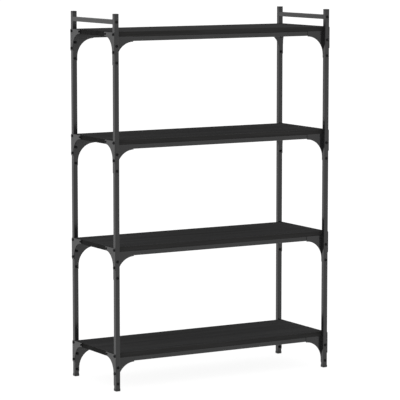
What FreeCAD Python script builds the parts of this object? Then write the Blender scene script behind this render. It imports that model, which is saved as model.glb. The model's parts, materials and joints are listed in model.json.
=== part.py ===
import FreeCAD, Part
import math
import os

from FreeCAD import Rotation, Vector

# Open bookcase: four steel posts carry four boards. Each board lies on a front rail and a rear rail with
# arched gussets at their ends, and is held at each end by two flat brackets bolted to the posts.
# Units are millimetres. The origin is on the floor below the middle, +Z is up and -Y is the front.

# Overall sizes, measured over the posts
overall_width = 800.0
overall_depth = 300.0
shelf_count = 4
shelf_pitch = 339.5
post_rise = 57.0

# Square tube of the posts
post_size = 15.0
post_wall = 1.2
post_corner_radius = 1.2

# Boards
board_thickness = 15.0
board_edge_radius = 0.6
board_end_gap = 0.5
board_post_gap = 0.5

# Rails under the front and rear edges of each board
rail_size = 15.0
rail_wall = 1.2
rail_corner_radius = 1.2
rail_end_gap = 1.0

# Arched gusset plates welded to the ends of each rail
plate_thickness = 1.5
gusset_reach = 59.0
gusset_lip = 2.0
gusset_upper_bolt_below_rail = 14.0
gusset_lower_bolt_below_arch = 5.0
tail_margin = 8.0
tail_above_foot = 8.0
tail_corner_radius = 3.0

# Flat side brackets on the outer faces of the posts
bracket_reach = 51.0
bracket_top_drop = 1.0
bracket_arm_height = 13.0
bracket_lower_bolt_above_arch = 2.0
bracket_tail_margin = 8.5
bracket_corner_radius = 2.5
bracket_screw_inset = 5.0

# Square rods above the top board, one at each side, each with a tapped block welded into both ends
rod_size = 15.0
rod_wall = 1.2
rod_corner_radius = 1.2
rod_height_above_board = 31.5
rod_block_length = 14.0

# Moulded plugs in the post ends
cap_flange_height = 6.0
cap_edge_radius = 1.0
foot_flange_height = 8.0
foot_overhang = 0.8
foot_edge_radius = 2.2
plug_length = 10.0
plug_clearance = 0.15
plug_bore_share = 0.6

# Button-head bolts, with hexagon nuts behind the gussets and threaded inserts behind the side brackets
bolt_diameter = 5.0
bolt_head_diameter = 9.5
bolt_head_height = 2.75
bolt_head_rounding = 2.0
bolt_socket_width = 3.0
bolt_socket_depth = 1.6
bolt_tip_length = 1.5
bolt_hole_clearance = 0.25
nut_width = 8.0
nut_height = 4.0
nut_chamfer = 0.6
insert_diameter = 7.0
insert_length = 9.0
insert_clearance = 0.05
insert_chamfer = 0.5
thread_clearance = 0.05

# Wood screws from the side brackets into the board ends
screw_diameter = 3.5
screw_head_diameter = 7.0
screw_head_height = 2.2
screw_head_rounding = 1.4
screw_length = 25.0
screw_point_length = 4.0
screw_socket_width = 2.5
screw_socket_depth = 1.0

# Places worked out from the sizes above
half_width = overall_width / 2
half_depth = overall_depth / 2
post_x = half_width - post_size / 2
post_y = half_depth - post_size / 2
hole_radius = bolt_diameter / 2 + bolt_hole_clearance
thread_radius = bolt_diameter / 2 + thread_clearance
grip_length = post_size + plate_thickness
nutted_bolt_length = grip_length + nut_height + bolt_tip_length
bracket_bolt_length = plate_thickness + insert_length + bolt_tip_length
insert_hole_radius = insert_diameter / 2 + insert_clearance
rail_bottom = board_thickness + rail_size
gusset_tip_bottom = rail_bottom + gusset_lip
gusset_arch_end = gusset_tip_bottom + gusset_reach
gusset_upper_bolt_drop = rail_bottom + gusset_upper_bolt_below_rail
gusset_lower_bolt_drop = gusset_arch_end + gusset_lower_bolt_below_arch
gusset_bolt_drops = [gusset_upper_bolt_drop, gusset_lower_bolt_drop]
lowest_shelf_top = foot_flange_height + tail_above_foot + tail_margin + gusset_lower_bolt_drop
shelf_tops = [lowest_shelf_top + level * shelf_pitch for level in range(shelf_count)]
overall_height = shelf_tops[-1] + post_rise
rod_z = shelf_tops[-1] + rod_height_above_board
bracket_arm_bottom = bracket_top_drop + bracket_arm_height
bracket_arch_end = bracket_arm_bottom + bracket_reach
bracket_screw_drop = bracket_top_drop + bracket_arm_height / 2
bracket_lower_bolt_drop = bracket_arch_end - bracket_lower_bolt_above_arch
bracket_bolt_drops = [bracket_screw_drop, bracket_lower_bolt_drop]
bracket_screw_y = half_depth - post_size - bracket_reach + bracket_screw_inset
corners = [("front_left", -1, -1), ("front_right", 1, -1), ("rear_left", -1, 1), ("rear_right", 1, 1)]
origin = Vector(0, 0, 0)
up = Vector(0, 0, 1)


def save(shape, node):
    shape.exportStep("parts/" + node + ".step")


def rounded_bar(width, depth, height, radius):
    """Upright bar centred on Z with its base at Z 0 and its four long edges rounded."""
    bar = Part.makeBox(width, depth, height, Vector(-width / 2, -depth / 2, 0))
    long_edges = [e for e in bar.Edges if abs(e.Vertexes[0].Z - e.Vertexes[1].Z) > height / 2]
    return bar.makeFillet(radius, long_edges)


def square_tube(size, wall, radius, length):
    inner_radius = max(radius - wall, wall / 4)
    inside = size - 2 * wall
    outer = rounded_bar(size, size, length, radius)
    return outer.cut(rounded_bar(inside, inside, length, inner_radius))


def turned(shape, direction):
    """The shape with its +Z turned to point along direction."""
    placed = shape.copy()
    placed.Placement = FreeCAD.Placement(origin, Rotation(up, direction)).multiply(placed.Placement)
    return placed


def moved(shape, place):
    placed = shape.copy()
    placed.translate(place)
    return placed


def drill(place, direction, radius, depth):
    """Solid to cut away: a round hole that starts at place and runs along direction."""
    return Part.makeCylinder(radius, depth, place, direction)


def rounded_outline(corner_list):
    """Closed wire through the corners in the XZ plane. Each corner is (x, z, radius)."""
    edges = []
    starts = []
    ends = []
    count = len(corner_list)
    for i, (x, z, radius) in enumerate(corner_list):
        here = Vector(x, 0, z)
        before = Vector(corner_list[i - 1][0], 0, corner_list[i - 1][1])
        after = Vector(corner_list[(i + 1) % count][0], 0, corner_list[(i + 1) % count][1])
        if radius == 0:
            starts.append(here)
            ends.append(here)
            continue
        back = (before - here).normalize()
        ahead = (after - here).normalize()
        half_angle = back.getAngle(ahead) / 2
        trim = radius / math.tan(half_angle)
        bisector = (back + ahead).normalize()
        middle = here + bisector * (radius / math.sin(half_angle) - radius)
        starts.append(here + back * trim)
        ends.append(here + ahead * trim)
        edges.append(Part.Arc(starts[i], middle, ends[i]).toShape())
    for i in range(count):
        if (ends[i - 1] - starts[i]).Length > 1e-6:
            edges.append(Part.LineSegment(ends[i - 1], starts[i]).toShape())
    return Part.Wire(Part.__sortEdges__(edges))


def flat_plate(corner_list):
    """Plate in the XZ plane that is plate_thickness deep, from Y 0 towards +Y."""
    return Part.Face(rounded_outline(corner_list)).extrude(Vector(0, plate_thickness, 0))


def with_bolt_holes(plate, drops):
    """The plate with bolt holes on the centre line of the post, at those distances below the board top."""
    for drop in drops:
        place = Vector(-post_size / 2, 0, -drop)
        plate = plate.cut(drill(place, Vector(0, 1, 0), hole_radius, plate_thickness))
    return plate


def gusset_plate():
    """Gusset for the right-hand end: X 0 is the outer face of the post and Z 0 the top of the board."""
    reach = post_size + gusset_reach
    tail = gusset_lower_bolt_drop + tail_margin
    plate = flat_plate([
        (0, -board_thickness, 0),
        (-reach, -board_thickness, 0),
        (-reach, -gusset_tip_bottom, 0),
        (-post_size, -gusset_tip_bottom, gusset_reach),
        (-post_size, -tail, tail_corner_radius),
        (0, -tail, tail_corner_radius),
    ])
    return with_bolt_holes(plate, gusset_bolt_drops)


def front_rail():
    """Rail with its two gussets, in place at the front for a board whose top is at Z 0."""
    length = overall_width - 2 * rail_end_gap
    tube = turned(square_tube(rail_size, rail_wall, rail_corner_radius, length), Vector(1, 0, 0))
    plate_face = -half_depth + post_size
    rail_y = plate_face + plate_thickness + rail_size / 2
    rail_z = -board_thickness - rail_size / 2
    tube = moved(tube, Vector(-length / 2, rail_y, rail_z))
    right = moved(gusset_plate(), Vector(half_width, plate_face, 0))
    left = right.mirror(origin, Vector(1, 0, 0))
    return tube.fuse([right, left]).removeSplitter()


def side_bracket():
    """Bracket for the rear-right corner, with the top of the board at Z 0."""
    end = -post_size - bracket_reach
    tail = bracket_lower_bolt_drop + bracket_tail_margin
    plate = flat_plate([
        (0, -bracket_top_drop, bracket_corner_radius),
        (end, -bracket_top_drop, bracket_corner_radius),
        (end, -bracket_arm_bottom, bracket_corner_radius),
        (-post_size, -bracket_arm_bottom, bracket_reach - bracket_corner_radius),
        (-post_size, -tail, tail_corner_radius),
        (0, -tail, tail_corner_radius),
    ])
    plate = with_bolt_holes(plate, bracket_bolt_drops)
    screw_place = Vector(end + bracket_screw_inset, 0, -bracket_screw_drop)
    screw_hole_radius = screw_diameter / 2 + bolt_hole_clearance
    plate = plate.cut(drill(screw_place, Vector(0, 1, 0), screw_hole_radius, plate_thickness))
    plate.rotate(origin, up, 90)
    return moved(plate, Vector(half_width + plate_thickness, half_depth, 0))


def at_corner(shape, x_side, y_side):
    """A shape made for the rear-right corner, mirrored to another corner."""
    placed = shape
    if x_side < 0:
        placed = placed.mirror(origin, Vector(1, 0, 0))
    if y_side < 0:
        placed = placed.mirror(origin, Vector(0, 1, 0))
    return placed


def post():
    """Rear-right post with its holes for the bolts of every level and for the rod."""
    bottom = foot_flange_height
    length = overall_height - cap_flange_height - bottom
    tube = square_tube(post_size, post_wall, post_corner_radius, length)
    tube = moved(tube, Vector(post_x, post_y, bottom))
    outer_side = Vector(half_width, post_y, 0)
    through = Vector(post_x, half_depth - post_size, 0)
    for top in shelf_tops:
        for drop in gusset_bolt_drops:
            place = through + Vector(0, 0, top - drop)
            tube = tube.cut(drill(place, Vector(0, 1, 0), hole_radius, post_size))
        for drop in bracket_bolt_drops:
            place = outer_side + Vector(0, 0, top - drop)
            tube = tube.cut(drill(place, Vector(-1, 0, 0), insert_hole_radius, post_size / 2))
    return tube.cut(drill(through + Vector(0, 0, rod_z), Vector(0, 1, 0), hole_radius, post_size))


def board():
    """Board with its top at Z 0 and pilot holes for the bracket screws in its ends."""
    length = overall_width - 2 * board_end_gap
    depth = overall_depth - 2 * (post_size + board_post_gap)
    slab = Part.makeBox(length, depth, board_thickness, Vector(-length / 2, -depth / 2, -board_thickness))
    slab = slab.makeFillet(board_edge_radius, slab.Edges)
    pilot_depth = screw_length - plate_thickness
    for x_side in (-1, 1):
        for y_side in (-1, 1):
            place = Vector(x_side * half_width, y_side * bracket_screw_y, -bracket_screw_drop)
            pilot = drill(place, Vector(-x_side, 0, 0), screw_diameter / 2 + thread_clearance, pilot_depth)
            slab = slab.cut(pilot)
    return slab


def post_plug():
    """Hollow plug that fits inside a post, with its base at Z 0."""
    width = post_size - 2 * post_wall - 2 * plug_clearance
    corner = max(post_corner_radius - post_wall, post_wall / 4)
    plug = rounded_bar(width, width, plug_length, corner)
    bore = drill(origin, up, width * plug_bore_share / 2, plug_length)
    return plug.cut(bore)


def post_cap():
    """Cap for the rear-right post: a thin flange on a plug."""
    flange = rounded_bar(post_size, post_size, cap_flange_height, post_corner_radius)
    top_edges = [e for e in flange.Edges if e.BoundBox.ZMin > cap_flange_height / 2]
    flange = flange.makeFillet(cap_edge_radius, top_edges)
    cap = flange.fuse(moved(post_plug(), Vector(0, 0, -plug_length)))
    return moved(cap, Vector(post_x, post_y, overall_height - cap_flange_height))


def post_foot():
    """Glide under the rear-right post: a rounded block, a little wider than the post, on a plug."""
    width = post_size + 2 * foot_overhang
    block = rounded_bar(width, width, foot_flange_height, post_corner_radius + foot_overhang)
    floor_edges = [e for e in block.Edges if e.BoundBox.ZMax < foot_flange_height / 2]
    block = block.makeFillet(foot_edge_radius, floor_edges)
    foot = block.fuse(moved(post_plug(), Vector(0, 0, foot_flange_height)))
    return moved(foot, Vector(post_x, post_y, 0))


def rod():
    """Right-hand rod between the front and rear posts: a square tube with a tapped block in each end."""
    length = overall_depth - 2 * post_size
    inside = rod_size - 2 * rod_wall
    hollow_length = length - 2 * rod_block_length
    hollow = Part.makeBox(inside, inside, hollow_length, Vector(-inside / 2, -inside / 2, rod_block_length))
    bar = rounded_bar(rod_size, rod_size, length, rod_corner_radius).cut(hollow)
    bar = bar.cut(drill(origin, up, thread_radius, length))
    bar = turned(bar, Vector(0, 1, 0))
    return moved(bar, Vector(post_x, -length / 2, rod_z))


def hexagon(width, height, base):
    """Upright hexagonal prism of that width over its flats, with its base at Z base."""
    radius = width / 2 / math.cos(math.pi / 6)
    points = []
    for i in range(7):
        angle = i * math.pi / 3
        points.append(Vector(radius * math.cos(angle), radius * math.sin(angle), base))
    return Part.Face(Part.makePolygon(points)).extrude(Vector(0, 0, height))


def button_head(diameter, height, rounding, socket_width, socket_depth):
    """Domed head that sits on Z 0 with its hexagon socket at the top."""
    head = Part.makeCylinder(diameter / 2, height)
    rim = [e for e in head.Edges if e.BoundBox.ZMin > height / 2]
    head = head.makeFillet(rounding, rim)
    return head.cut(hexagon(socket_width, socket_depth, height - socket_depth))


def bolt(length):
    """Button-head bolt: the head is above Z 0 and the shank runs down from it."""
    head = button_head(bolt_head_diameter, bolt_head_height, bolt_head_rounding,
                       bolt_socket_width, bolt_socket_depth)
    shank = Part.makeCylinder(bolt_diameter / 2, length, Vector(0, 0, -length))
    return head.fuse(shank)


def nut():
    """Nut that sits on Z 0 with the bolt running through it."""
    corner_radius = nut_width / 2 / math.cos(math.pi / 6)
    body = Part.makeCylinder(corner_radius, nut_height)
    body = body.makeChamfer(nut_chamfer, [e for e in body.Edges if e.BoundBox.ZLength < nut_height / 2])
    body = body.common(hexagon(nut_width, nut_height, 0))
    return body.cut(drill(origin, up, thread_radius, nut_height))


def threaded_insert():
    """Insert for the wall of a post: its mouth is at Z 0 and it runs down from it."""
    body = Part.makeCylinder(insert_diameter / 2, insert_length, Vector(0, 0, -insert_length))
    inner_end = [e for e in body.Edges if e.BoundBox.ZMax < -insert_length / 2]
    body = body.makeChamfer(insert_chamfer, inner_end)
    return body.cut(drill(origin, -up, thread_radius, insert_length))


def wood_screw():
    """Screw for a bracket: the head is above Z 0 and the pointed shank runs down from it."""
    head = button_head(screw_head_diameter, screw_head_height, screw_head_rounding,
                       screw_socket_width, screw_socket_depth)
    straight = screw_length - screw_point_length
    radius = screw_diameter / 2
    shank = Part.makeCylinder(radius, straight, Vector(0, 0, -straight))
    point = Part.makeCone(0, radius, screw_point_length, Vector(0, 0, -screw_length))
    return head.fuse([shank, point]).removeSplitter()


def on_all_corners(shape):
    return [at_corner(shape, x_side, y_side) for name, x_side, y_side in corners]


def make_levels():
    rail = front_rail()
    rear = rail.mirror(origin, Vector(0, 1, 0))
    bracket = side_bracket()
    slab = board()
    for level, top in enumerate(shelf_tops, start=1):
        lift = Vector(0, 0, top)
        save(moved(slab, lift), "board_" + str(level))
        save(moved(rail, lift), "front_rail_" + str(level))
        save(moved(rear, lift), "rear_rail_" + str(level))
        for name, x_side, y_side in corners:
            placed = moved(at_corner(bracket, x_side, y_side), lift)
            save(placed, "side_bracket_" + name + "_" + str(level))


def make_posts():
    pieces = {"post": post(), "post_cap": post_cap(), "foot": post_foot()}
    for kind, piece in pieces.items():
        for name, x_side, y_side in corners:
            save(at_corner(piece, x_side, y_side), kind + "_" + name)


def make_rods():
    right = rod()
    save(right, "top_rod_right")
    save(right.mirror(origin, Vector(1, 0, 0)), "top_rod_left")


def make_fasteners():
    """Each kind of fastener is one node, a group of separate solids."""
    outward_y = turned(bolt(nutted_bolt_length), Vector(0, 1, 0))
    outward_x = turned(bolt(bracket_bolt_length), Vector(1, 0, 0))
    nut_inward_y = turned(nut(), Vector(0, -1, 0))
    insert_outward_x = turned(threaded_insert(), Vector(1, 0, 0))
    kinds = ["rail_bolts", "rail_nuts", "bracket_bolts", "bracket_inserts", "board_screws"]
    groups = {kind: [] for kind in kinds}
    for top in shelf_tops:
        for drop in gusset_bolt_drops:
            head_place = Vector(post_x, half_depth, top - drop)
            nut_place = Vector(post_x, half_depth - grip_length, top - drop)
            groups["rail_bolts"] += on_all_corners(moved(outward_y, head_place))
            groups["rail_nuts"] += on_all_corners(moved(nut_inward_y, nut_place))
        for drop in bracket_bolt_drops:
            head_place = Vector(half_width + plate_thickness, post_y, top - drop)
            insert_place = Vector(half_width, post_y, top - drop)
            groups["bracket_bolts"] += on_all_corners(moved(outward_x, head_place))
            groups["bracket_inserts"] += on_all_corners(moved(insert_outward_x, insert_place))
        screw_place = Vector(half_width + plate_thickness, bracket_screw_y, top - bracket_screw_drop)
        screw = turned(wood_screw(), Vector(1, 0, 0))
        groups["board_screws"] += on_all_corners(moved(screw, screw_place))
    rod_bolt = turned(bolt(post_size + rod_block_length - bolt_tip_length), Vector(0, 1, 0))
    groups["rod_bolts"] = on_all_corners(moved(rod_bolt, Vector(post_x, half_depth, rod_z)))
    for node, solids in groups.items():
        save(Part.makeCompound(solids), node)


os.makedirs("parts", exist_ok=True)
make_posts()
make_levels()
make_rods()
make_fasteners()
print("overall", overall_width, overall_depth, overall_height, "board tops", shelf_tops)
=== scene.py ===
import bpy
import bmesh
import json
import math
from mathutils import Matrix, Vector


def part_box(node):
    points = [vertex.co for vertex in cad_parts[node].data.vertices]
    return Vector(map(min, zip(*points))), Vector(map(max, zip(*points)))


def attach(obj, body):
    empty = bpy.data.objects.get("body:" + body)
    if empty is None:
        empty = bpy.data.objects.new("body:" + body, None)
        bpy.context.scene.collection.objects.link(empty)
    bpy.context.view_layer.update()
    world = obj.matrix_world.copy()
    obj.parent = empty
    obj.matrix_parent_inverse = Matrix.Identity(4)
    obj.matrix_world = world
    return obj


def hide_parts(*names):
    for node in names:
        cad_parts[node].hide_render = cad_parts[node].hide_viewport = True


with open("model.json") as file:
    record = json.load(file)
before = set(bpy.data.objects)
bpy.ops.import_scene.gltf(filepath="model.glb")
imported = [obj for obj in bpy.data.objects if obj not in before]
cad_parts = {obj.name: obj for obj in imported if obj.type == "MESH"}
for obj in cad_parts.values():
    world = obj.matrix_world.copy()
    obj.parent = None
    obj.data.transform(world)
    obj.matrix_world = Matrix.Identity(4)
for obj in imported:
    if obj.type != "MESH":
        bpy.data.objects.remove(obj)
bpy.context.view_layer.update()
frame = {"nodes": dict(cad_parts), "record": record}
print("frame loaded:", len(frame["nodes"]), "nodes")

boardCount = 4
levels = range(1, boardCount + 1)
millimetre = 0.001
closeEnough = 1e-6
facesAxis = 0.9  # a normal's share along an axis, above which its face is taken to look that way


# helpers for node trees

def addNode(tree, kind, values=None, **settings):
    node = tree.nodes.new(kind)
    for name, value in settings.items():
        setattr(node, name, value)
    for name, value in (values or {}).items():
        node.inputs[name].default_value = value
    return node


def startGroup(name, inputs, outputs):
    tree = bpy.data.node_groups.new(name, "ShaderNodeTree")
    for label, value in inputs.items():
        socket = tree.interface.new_socket(name=label, in_out="INPUT", socket_type="NodeSocketFloat")
        socket.default_value = value
    for label, kind in outputs.items():
        tree.interface.new_socket(name=label, in_out="OUTPUT", socket_type="NodeSocket" + kind)
    return tree, addNode(tree, "NodeGroupInput"), addNode(tree, "NodeGroupOutput")


def addMath(tree, operation, first, second=None, clamp=False):
    node = addNode(tree, "ShaderNodeMath", operation=operation, use_clamp=clamp)
    for socket, value in zip(node.inputs, (first, second)):
        if isinstance(value, (int, float)):
            socket.default_value = value
        elif value is not None:
            tree.links.new(value, socket)
    return node.outputs[0]


def addBlend(tree, first, second, share):
    return addMath(tree, "ADD", addMath(tree, "MULTIPLY", first, share),
                   addMath(tree, "MULTIPLY", second, 1 - share))


def placeGroup(tree, group, values):
    node = addNode(tree, "ShaderNodeGroup", node_tree=group)
    for name, value in values.items():
        node.inputs[name].default_value = value
    return node


# effects that several finishes share

def makeFinePeel():
    # the slight orange peel of a sprayed or moulded skin, with broad cloudy changes of tone
    tree, given, result = startGroup("finePeel", {"Bumps per metre": 700.0, "Clouds per metre": 9.0},
                                     {"Height": "Float", "Tone": "Float"})
    place = addNode(tree, "ShaderNodeTexCoord")
    bumps = addNode(tree, "ShaderNodeTexNoise", {"Detail": 2.0, "Roughness": 0.45})
    clouds = addNode(tree, "ShaderNodeTexNoise", {"Detail": 3.0, "Roughness": 0.6})
    for noise, size in ((bumps, "Bumps per metre"), (clouds, "Clouds per metre")):
        tree.links.new(place.outputs["Object"], noise.inputs["Vector"])
        tree.links.new(given.outputs[size], noise.inputs["Scale"])
    tree.links.new(bumps.outputs["Fac"], result.inputs["Height"])
    tree.links.new(addBlend(tree, clouds.outputs["Fac"], bumps.outputs["Fac"], 0.7), result.inputs["Tone"])
    return tree


def makeEdgeRub():
    # finds the edges by how far a softened normal leans from the true one
    gain = 4.0  # how quickly a slight lean becomes a full edge
    tree, given, result = startGroup("edgeRub", {"Width": 0.0006, "Strength": 1.0},
                                     {"Mask": "Float", "Normal": "Vector"})
    soft = addNode(tree, "ShaderNodeBevel", samples=6)
    tree.links.new(given.outputs["Width"], soft.inputs["Radius"])
    flat = addNode(tree, "ShaderNodeNewGeometry")
    lean = addNode(tree, "ShaderNodeVectorMath", operation="DOT_PRODUCT")
    tree.links.new(soft.outputs["Normal"], lean.inputs[0])
    tree.links.new(flat.outputs["Normal"], lean.inputs[1])
    edge = addMath(tree, "MULTIPLY", addMath(tree, "SUBTRACT", 1.0, lean.outputs["Value"]), gain, clamp=True)
    place = addNode(tree, "ShaderNodeTexCoord")
    patchy = addNode(tree, "ShaderNodeTexNoise", {"Scale": 55.0, "Detail": 4.0, "Roughness": 0.65})
    tree.links.new(place.outputs["Object"], patchy.inputs["Vector"])
    patches = addNode(tree, "ShaderNodeMapRange", {"From Min": 0.45, "From Max": 0.7})
    tree.links.new(patchy.outputs["Fac"], patches.inputs["Value"])
    rubbed = addMath(tree, "MULTIPLY", edge, patches.outputs["Result"])
    mask = addMath(tree, "MULTIPLY", rubbed, given.outputs["Strength"], clamp=True)
    tree.links.new(mask, result.inputs["Mask"])
    tree.links.new(soft.outputs["Normal"], result.inputs["Normal"])
    return tree


def makeSettledDust():
    # a thin veil on faces that look upwards, thicker in patches
    tree, given, result = startGroup("settledDust", {"Amount": 0.1, "Specks per metre": 180.0},
                                     {"Mask": "Float"})
    flat = addNode(tree, "ShaderNodeNewGeometry")
    parts = addNode(tree, "ShaderNodeSeparateXYZ")
    tree.links.new(flat.outputs["Normal"], parts.inputs["Vector"])
    facing = addNode(tree, "ShaderNodeMapRange", {"From Min": 0.5, "From Max": 0.98})
    tree.links.new(parts.outputs["Z"], facing.inputs["Value"])
    place = addNode(tree, "ShaderNodeTexCoord")
    specks = addNode(tree, "ShaderNodeTexNoise", {"Detail": 6.0, "Roughness": 0.7})
    tree.links.new(place.outputs["Object"], specks.inputs["Vector"])
    tree.links.new(given.outputs["Specks per metre"], specks.inputs["Scale"])
    veil = addMath(tree, "MULTIPLY", facing.outputs["Result"], specks.outputs["Fac"])
    mask = addMath(tree, "MULTIPLY", veil, given.outputs["Amount"], clamp=True)
    tree.links.new(mask, result.inputs["Mask"])
    return tree


def makeStainedGrain():
    # long streaks and short pores that run along the board
    tree, given, result = startGroup("stainedGrain",
                                     {"Streaks per metre": 230.0, "Stretch": 0.018, "Pore depth": 0.6},
                                     {"Tone": "Float", "Height": "Float"})
    place = addNode(tree, "ShaderNodeTexCoord")
    squeeze = addNode(tree, "ShaderNodeCombineXYZ", {"Y": 1.0, "Z": 1.0})
    tree.links.new(given.outputs["Stretch"], squeeze.inputs["X"])
    along = addNode(tree, "ShaderNodeVectorMath", operation="MULTIPLY")
    tree.links.new(place.outputs["Object"], along.inputs[0])
    tree.links.new(squeeze.outputs["Vector"], along.inputs[1])
    streaks = addNode(tree, "ShaderNodeTexNoise", {"Detail": 5.0, "Roughness": 0.62, "Distortion": 0.35})
    bands = addNode(tree, "ShaderNodeTexNoise", {"Scale": 34.0, "Detail": 2.0, "Distortion": 0.9})
    pores = addNode(tree, "ShaderNodeTexNoise", {"Scale": 900.0, "Detail": 1.0})
    for noise in (streaks, bands, pores):
        tree.links.new(along.outputs["Vector"], noise.inputs["Vector"])
    tree.links.new(given.outputs["Streaks per metre"], streaks.inputs["Scale"])
    tone = addBlend(tree, streaks.outputs["Fac"], bands.outputs["Fac"], 0.65)
    tree.links.new(tone, result.inputs["Tone"])
    dips = addNode(tree, "ShaderNodeMapRange", {"From Min": 0.58, "From Max": 0.68})
    tree.links.new(pores.outputs["Fac"], dips.inputs["Value"])
    sunk = addMath(tree, "MULTIPLY", dips.outputs["Result"], given.outputs["Pore depth"])
    tree.links.new(addMath(tree, "SUBTRACT", tone, sunk), result.inputs["Height"])
    return tree


finePeel = makeFinePeel()
edgeRub = makeEdgeRub()
settledDust = makeSettledDust()
stainedGrain = makeStainedGrain()
print("shared effects ready")


# the finishes, each with its own values

def startMaterial(name, shaderValues):
    material = bpy.data.materials.new(name)
    material.use_nodes = True
    tree = material.node_tree
    tree.nodes.clear()
    shader = addNode(tree, "ShaderNodeBsdfPrincipled", shaderValues)
    surface = addNode(tree, "ShaderNodeOutputMaterial")
    tree.links.new(shader.outputs["BSDF"], surface.inputs["Surface"])
    return material, tree, shader


def mixColours(tree, factor, first, second):
    mix = addNode(tree, "ShaderNodeMix", data_type="RGBA")
    tree.links.new(factor, mix.inputs["Factor"])
    # the colour sockets share their names with others, so they are picked by number
    for socket, value in ((mix.inputs[6], first), (mix.inputs[7], second)):
        if isinstance(value, tuple):
            socket.default_value = value + (1.0,)
        else:
            tree.links.new(value, socket)
    return mix.outputs[2]


def spread(tree, value, low, high, fromLow=0.3, fromHigh=0.7):
    reach = addNode(tree, "ShaderNodeMapRange", {"From Min": fromLow, "From Max": fromHigh,
                                                 "To Min": low, "To Max": high})
    tree.links.new(value, reach.inputs["Value"])
    return reach.outputs["Result"]


def skinMaterial(name, look):
    material, tree, shader = startMaterial(name, {"Specular IOR Level": look["specular"],
                                                  "Metallic": look["metallic"]})
    peel = placeGroup(tree, finePeel, {"Bumps per metre": look["bumps"], "Clouds per metre": look["clouds"]})
    rub = placeGroup(tree, edgeRub, {"Width": look["edgeWidth"], "Strength": look["rub"]})
    dust = placeGroup(tree, settledDust, {"Amount": look["dust"]})
    tone = spread(tree, peel.outputs["Tone"], 0.0, 1.0)
    colour = mixColours(tree, tone, look["deep"], look["light"])
    colour = mixColours(tree, rub.outputs["Mask"], colour, look["rubbed"])
    colour = mixColours(tree, dust.outputs["Mask"], colour, look["dustColour"])
    tree.links.new(colour, shader.inputs["Base Color"])
    rough = spread(tree, peel.outputs["Tone"], look["roughLow"], look["roughHigh"])
    dulling = addMath(tree, "MULTIPLY", dust.outputs["Mask"], look["dustDulls"])
    dulled = addMath(tree, "ADD", rough, dulling, clamp=True)
    tree.links.new(dulled, shader.inputs["Roughness"])
    bump = addNode(tree, "ShaderNodeBump", {"Strength": look["bumpStrength"], "Distance": look["bumpDepth"]})
    tree.links.new(peel.outputs["Height"], bump.inputs["Height"])
    tree.links.new(rub.outputs["Normal"], bump.inputs["Normal"])
    tree.links.new(bump.outputs["Normal"], shader.inputs["Normal"])
    return material


def boardMaterial(name, look):
    material, tree, shader = startMaterial(name, {"Specular IOR Level": look["specular"]})
    grain = placeGroup(tree, stainedGrain, {"Streaks per metre": look["streaks"], "Stretch": look["stretch"],
                                            "Pore depth": look["poreDepth"]})
    rub = placeGroup(tree, edgeRub, {"Width": look["edgeWidth"], "Strength": look["rub"]})
    dust = placeGroup(tree, settledDust, {"Amount": look["dust"]})
    tone = spread(tree, grain.outputs["Tone"], 0.0, 1.0, look["grainLow"], look["grainHigh"])
    colour = mixColours(tree, tone, look["deep"], look["light"])
    colour = mixColours(tree, rub.outputs["Mask"], colour, look["rubbed"])
    colour = mixColours(tree, dust.outputs["Mask"], colour, look["dustColour"])
    tree.links.new(colour, shader.inputs["Base Color"])
    rough = spread(tree, grain.outputs["Tone"], look["roughHigh"], look["roughLow"],
                   look["grainLow"], look["grainHigh"])
    tree.links.new(rough, shader.inputs["Roughness"])
    bump = addNode(tree, "ShaderNodeBump", {"Strength": look["bumpStrength"], "Distance": look["bumpDepth"]})
    tree.links.new(grain.outputs["Height"], bump.inputs["Height"])
    tree.links.new(rub.outputs["Normal"], bump.inputs["Normal"])
    tree.links.new(bump.outputs["Normal"], shader.inputs["Normal"])
    return material


steelLook = {
    "deep": (0.009, 0.009, 0.0094), "light": (0.015, 0.015, 0.0155),
    "rubbed": (0.04, 0.04, 0.041), "dustColour": (0.12, 0.117, 0.113),
    "specular": 0.43, "metallic": 0.0, "roughLow": 0.1, "roughHigh": 0.2,
    "bumps": 650.0, "clouds": 12.0, "bumpStrength": 0.2, "bumpDepth": 0.00003,
    "edgeWidth": 0.0005, "rub": 0.3, "dust": 0.06, "dustDulls": 0.8,
}
plasticLook = {
    "deep": (0.007, 0.007, 0.007), "light": (0.012, 0.012, 0.0123),
    "rubbed": (0.03, 0.03, 0.03), "dustColour": (0.12, 0.117, 0.113),
    "specular": 0.4, "metallic": 0.0, "roughLow": 0.36, "roughHigh": 0.5,
    "bumps": 1500.0, "clouds": 20.0, "bumpStrength": 0.4, "bumpDepth": 0.00004,
    "edgeWidth": 0.0006, "rub": 0.25, "dust": 0.06, "dustDulls": 0.8,
}
fastenerLook = {
    "deep": (0.003, 0.003, 0.0033), "light": (0.007, 0.007, 0.0073),
    "rubbed": (0.05, 0.048, 0.046), "dustColour": (0.08, 0.08, 0.08),
    "specular": 0.12, "metallic": 0.0, "roughLow": 0.4, "roughHigh": 0.55,
    "bumps": 2600.0, "clouds": 60.0, "bumpStrength": 0.4, "bumpDepth": 0.00003,
    "edgeWidth": 0.0003, "rub": 0.3, "dust": 0.03, "dustDulls": 0.8,
}
boardLook = {
    "deep": (0.0276, 0.0276, 0.0280), "light": (0.0446, 0.0446, 0.0450),
    "rubbed": (0.05, 0.049, 0.048), "dustColour": (0.1, 0.098, 0.095),
    "specular": 0.0, "roughLow": 0.5, "roughHigh": 0.65,
    "streaks": 230.0, "stretch": 0.018, "poreDepth": 0.6, "grainLow": 0.36, "grainHigh": 0.64,
    "bumpStrength": 0.4, "bumpDepth": 0.0001,
    "edgeWidth": 0.0004, "rub": 0.15, "dust": 0.03,
}
frontBandLook = dict(boardLook, deep=(0.013, 0.0128, 0.0126), light=(0.023, 0.0226, 0.0224),
                     specular=0.06, streaks=300.0, bumpDepth=0.00006)
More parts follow.
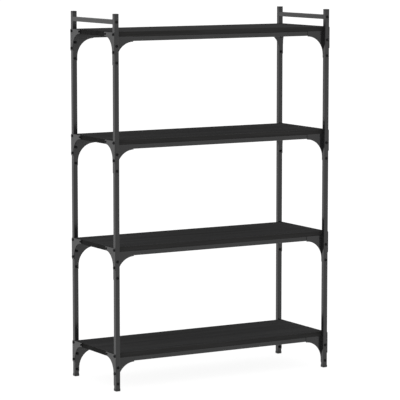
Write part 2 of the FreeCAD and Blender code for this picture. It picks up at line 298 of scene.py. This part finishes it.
# the board's ends get a darker copy of the front band: painted shade, because the ends take less light than
# the front
endBandPaintedShadeLook = dict(frontBandLook, deep=(0.005, 0.0049, 0.0048), light=(0.011, 0.0108, 0.0106), specular=0.03)

blackSteel = skinMaterial("powderCoatedSteel", steelLook)
blackPlastic = skinMaterial("mouldedPlastic", plasticLook)
darkFastener = skinMaterial("blackOxideFastener", fastenerLook)
blackBoard = boardMaterial("blackStainedBoard", boardLook)
boardFrontBand = boardMaterial("boardFrontBand", frontBandLook)
# the darker colour of this end band is painted shade on the board's ends
boardEndBandPaintedShade = boardMaterial("boardEndBandPaintedShade", endBandPaintedShadeLook)
finishes = {"black_steel": blackSteel, "black_plastic": blackPlastic,
            "dark_fastener": darkFastener, "black_wood": blackBoard}
slotOfNode = {part["node"]: part["material_slot"] for part in frame["record"]["subparts"]}
for name, node in frame["nodes"].items():
    for slot in node.material_slots:
        slot.material = finishes[slotOfNode[name]]
print("finishes ready")


# new pieces

def newPiece(name, shape, materials, smooth=False):
    mesh = bpy.data.meshes.new(name)
    shape.to_mesh(mesh)
    shape.free()
    for material in materials:
        mesh.materials.append(material)
    if smooth:
        mesh.shade_smooth()
    piece = bpy.data.objects.new(name, mesh)
    bpy.context.scene.collection.objects.link(piece)
    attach(piece, "root")
    return piece


boardSkin = {
    "edgeRadius": 0.4 * millimetre,
    "edgeSegments": 3,
    "sharpAngle": 1.2,  # radians between two faces, above which their edge is softened
    "bandThickness": 0.8 * millimetre,  # width of the edge band seen on the faces
    "seamWidth": 0.25 * millimetre,
    "seamDepth": 0.15 * millimetre,
}


def reachesSide(point, high):
    # a board sits centred on both axes, so its highest corner stands for all four
    return abs(point.x) > high[0] - closeEnough or abs(point.y) > high[1] - closeEnough


def makeBoard(level):
    low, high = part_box(f"board_{level}")
    shape = bmesh.new()
    bmesh.ops.create_cube(shape, size=1.0)
    bmesh.ops.scale(shape, vec=Vector(high) - Vector(low), verts=shape.verts)
    bmesh.ops.translate(shape, vec=(Vector(low) + Vector(high)) / 2, verts=shape.verts)
    # a fine seam runs round both faces where the band meets the skin
    for side in (1, -1):
        outward = [f for f in shape.faces if f.normal.z * side > facesAxis]
        bmesh.ops.inset_region(shape, faces=outward, thickness=boardSkin["bandThickness"])
        for depth in (-boardSkin["seamDepth"], boardSkin["seamDepth"]):
            bmesh.ops.inset_region(shape, faces=outward, thickness=boardSkin["seamWidth"] / 2, depth=depth)
    rim = [e for e in shape.edges if e.calc_face_angle(0.0) > boardSkin["sharpAngle"]
           and any(reachesSide(v.co, high) for v in e.verts)]
    bmesh.ops.bevel(shape, geom=rim, offset=boardSkin["edgeRadius"], offset_type="OFFSET", affect="EDGES",
                    segments=boardSkin["edgeSegments"], profile=0.5, material=-1)
    finishesHere = [blackBoard, boardFrontBand, boardEndBandPaintedShade]
    for face in shape.faces:
        centre = face.calc_center_median()
        inset = min(high[0] - abs(centre.x), high[1] - abs(centre.y))
        if inset > boardSkin["bandThickness"]:
            finish = blackBoard
        # faces looking along the board's length take the darker end band, which is painted shade
        elif abs(face.normal.x) > facesAxis:
            finish = boardEndBandPaintedShade
        else:
            finish = boardFrontBand
        face.material_index = finishesHere.index(finish)
    piece = newPiece(f"boardPanel{level}", shape, finishesHere)
    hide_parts(f"board_{level}")


weldBead = {
    "radius": 1.3 * millimetre,
    "ripple": 0.16 * millimetre,
    "ripplePitch": 2.2 * millimetre,
    "cutsPerRipple": 3,
    "sides": 10,
    "taperLength": 2.0 * millimetre,
    "tipShare": 0.4,  # of the radius, at the very end
    "startGap": 3.0 * millimetre,  # clear of the post
    "endGap": 4.0 * millimetre,  # clear of the gusset tip
    "reach": 59.0 * millimetre,  # length of a gusset, from the inner side of the post
    "plate": 1.5 * millimetre,
    "railHeight": 15.0 * millimetre,
    "proud": 0.2 * millimetre,
}


def makeWelds(side, level):
    # one bead at each end, in the corner between the gusset and the underside of the rail
    low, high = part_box(f"{side}_rail_{level}")
    towards = 1 if side == "front" else -1
    plateFace = low[1] + weldBead["plate"] if side == "front" else high[1] - weldBead["plate"]
    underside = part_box(f"board_{level}")[0][2] - weldBead["railHeight"]
    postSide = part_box(f"post_{side}_right")[0][0]
    length = weldBead["reach"] - weldBead["startGap"] - weldBead["endGap"]
    cuts = int(length / weldBead["ripplePitch"] * weldBead["cutsPerRipple"])
    lengthwise = Matrix.Rotation(math.pi / 2, 4, "Y")
    shape = bmesh.new()
    for hand in (-1, 1):
        bead = bmesh.ops.create_cone(shape, cap_ends=True, segments=weldBead["sides"], depth=length,
                                     radius1=weldBead["radius"], radius2=weldBead["radius"],
                                     matrix=lengthwise)["verts"]
        longEdges = {e for v in bead for e in v.link_edges
                     if abs(e.verts[0].co.x - e.verts[1].co.x) > length / 2}
        bmesh.ops.subdivide_edges(shape, edges=list(longEdges), cuts=cuts, use_grid_fill=True)
        bead = [v for v in shape.verts if abs(v.co.x) <= length / 2 + closeEnough]
        for v in bead:
            swell = weldBead["ripple"] * math.sin(v.co.x / weldBead["ripplePitch"] * 2 * math.pi)
            fromEnd = length / 2 - abs(v.co.x)
            taper = min(1.0, fromEnd / weldBead["taperLength"] + weldBead["tipShare"])
            growth = (1 + swell / weldBead["radius"]) * taper
            v.co = Vector((v.co.x, v.co.y * growth, v.co.z * growth))
        middle = hand * (postSide - weldBead["startGap"] - length / 2)
        place = (middle, plateFace + towards * weldBead["proud"], underside - weldBead["proud"])
        bmesh.ops.translate(shape, verts=bead, vec=place)
    bmesh.ops.recalc_face_normals(shape, faces=shape.faces)
    newPiece(f"{side}RailWelds{level}", shape, [blackSteel], smooth=True)


boltThread = {
    "crestRadius": 2.7 * millimetre,
    "rootRadius": 2.46 * millimetre,
    "pitch": 0.7 * millimetre,
    "turns": 2,
    "sides": 20,
    "mergeWithin": 0.005 * millimetre,
    "plate": 1.5 * millimetre,
    "nut": 4.0 * millimetre,
    "drops": (44.0 * millimetre, 96.0 * millimetre),  # below the top of the board
}


def makeBoltThreads(side):
    # the end of each rail bolt shows a little thread past its nut
    towards = 1 if side == "front" else -1
    crest, root, pitch = boltThread["crestRadius"], boltThread["rootRadius"], boltThread["pitch"]
    outline = [(0.0, 0.0), (root, 0.0)]
    for turn in range(boltThread["turns"]):
        outline += [(crest, (turn + 0.5) * pitch), (root, (turn + 1) * pitch)]
    outline.append((0.0, boltThread["turns"] * pitch))
    shape = bmesh.new()
    for hand in ("left", "right"):
        postLow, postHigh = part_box(f"post_{side}_{hand}")
        middle = (postLow[0] + postHigh[0]) / 2
        inner = postHigh[1] if side == "front" else postLow[1]
        start = inner + towards * (boltThread["plate"] + boltThread["nut"])
        for level in levels:
            for drop in boltThread["drops"]:
                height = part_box(f"board_{level}")[1][2] - drop
                points = [shape.verts.new((middle + radius, start + towards * along, height))
                          for radius, along in outline]
                lines = [shape.edges.new(pair) for pair in zip(points, points[1:])]
                bmesh.ops.spin(shape, geom=points + lines, cent=(middle, 0, height), axis=(0, 1, 0),
                               angle=2 * math.pi, steps=boltThread["sides"], use_merge=True)
    bmesh.ops.remove_doubles(shape, verts=shape.verts, dist=boltThread["mergeWithin"])
    bmesh.ops.recalc_face_normals(shape, faces=shape.faces)
    newPiece(f"{side}BoltThreads", shape, [darkFastener])


for side in ("front", "rear"):
    makeBoltThreads(side)
for level in levels:
    makeBoard(level)
    makeWelds("front", level)
    makeWelds("rear", level)
print("boards, welds and bolt threads made")


# floor, light and camera

studio = {
    "floorSize": 160.0,
    "floorColour": (0.14, 0.14, 0.14),
    "floorClouds": 0.02,  # how much paler the floor gets in places
    "floorGlow": 0.84,  # keeps the shadows on the floor faint
    "skyFront": 1.0,
    "skyRear": 0.94,
    "softBoxPower": 14.0,
    "softBoxPlace": (-2.6, -1.4, 3.6),
    "softBoxAim": (0.0, 0.0, 0.6),
    "softBoxSize": (3.0, 3.0),
    "exposure": 0.12,
}
view = {
    "place": (-3.7426, -6.4034, 1.4744),
    "turn": 30.274,  # degrees to the right of straight ahead
    "tilt": 6.933,  # degrees down
    "lens": 204.63,
    "sensor": 36.0,
    "near": 0.5,
    "far": 400.0,
}


def makeFloor():
    shape = bmesh.new()
    bmesh.ops.create_grid(shape, x_segments=2, y_segments=2, size=studio["floorSize"] / 2)
    mesh = bpy.data.meshes.new("floor")
    shape.to_mesh(mesh)
    shape.free()
    material, tree, shader = startMaterial("paleFloor", {"Roughness": 0.9, "Specular IOR Level": 0.0,
                                                         "Emission Color": (1.0, 1.0, 1.0, 1.0),
                                                         "Emission Strength": studio["floorGlow"]})
    place = addNode(tree, "ShaderNodeTexCoord")
    clouds = addNode(tree, "ShaderNodeTexNoise", {"Scale": 3.0, "Detail": 3.0})
    tree.links.new(place.outputs["Object"], clouds.inputs["Vector"])
    pale = studio["floorColour"]
    paler = tuple(min(1.0, c + studio["floorClouds"]) for c in pale)
    tree.links.new(mixColours(tree, clouds.outputs["Fac"], pale, paler), shader.inputs["Base Color"])
    mesh.materials.append(material)
    floor = bpy.data.objects.new("floor", mesh)
    bpy.context.scene.collection.objects.link(floor)


def makeSoftBox():
    light = bpy.data.lights.new("softBox", "AREA")
    light.shape = "RECTANGLE"
    light.size, light.size_y = studio["softBoxSize"]
    light.energy = studio["softBoxPower"]
    lamp = bpy.data.objects.new("softBox", light)
    place = Vector(studio["softBoxPlace"])
    lamp.location = place
    lamp.rotation_euler = (Vector(studio["softBoxAim"]) - place).to_track_quat("-Z", "Y").to_euler()
    bpy.context.scene.collection.objects.link(lamp)


def makeSky():
    # the studio is a little darker behind the bookcase than in front of it
    world = bpy.data.worlds.new("paleStudio")
    world.use_nodes = True
    tree = world.node_tree
    sky = tree.nodes["Background"]
    sky.inputs["Color"].default_value = (1.0, 1.0, 1.0, 1.0)
    direction = addNode(tree, "ShaderNodeTexCoord")
    parts = addNode(tree, "ShaderNodeSeparateXYZ")
    tree.links.new(direction.outputs["Generated"], parts.inputs["Vector"])
    strength = spread(tree, parts.outputs["Y"], studio["skyFront"], studio["skyRear"], -1.0, 1.0)
    tree.links.new(strength, sky.inputs["Strength"])
    bpy.context.scene.world = world


def makeCamera():
    camera = bpy.data.cameras.new("camera")
    camera.lens = view["lens"]
    camera.sensor_width = view["sensor"]
    camera.clip_start = view["near"]
    camera.clip_end = view["far"]
    holder = bpy.data.objects.new("camera", camera)
    holder.location = view["place"]
    holder.rotation_euler = (math.radians(90 - view["tilt"]), 0, -math.radians(view["turn"]))
    bpy.context.scene.collection.objects.link(holder)
    bpy.context.scene.camera = holder


makeFloor()
makeSky()
makeSoftBox()
makeCamera()
bpy.context.scene.view_settings.view_transform = "Standard"
bpy.context.scene.view_settings.exposure = studio["exposure"]
print("floor, light and camera placed")
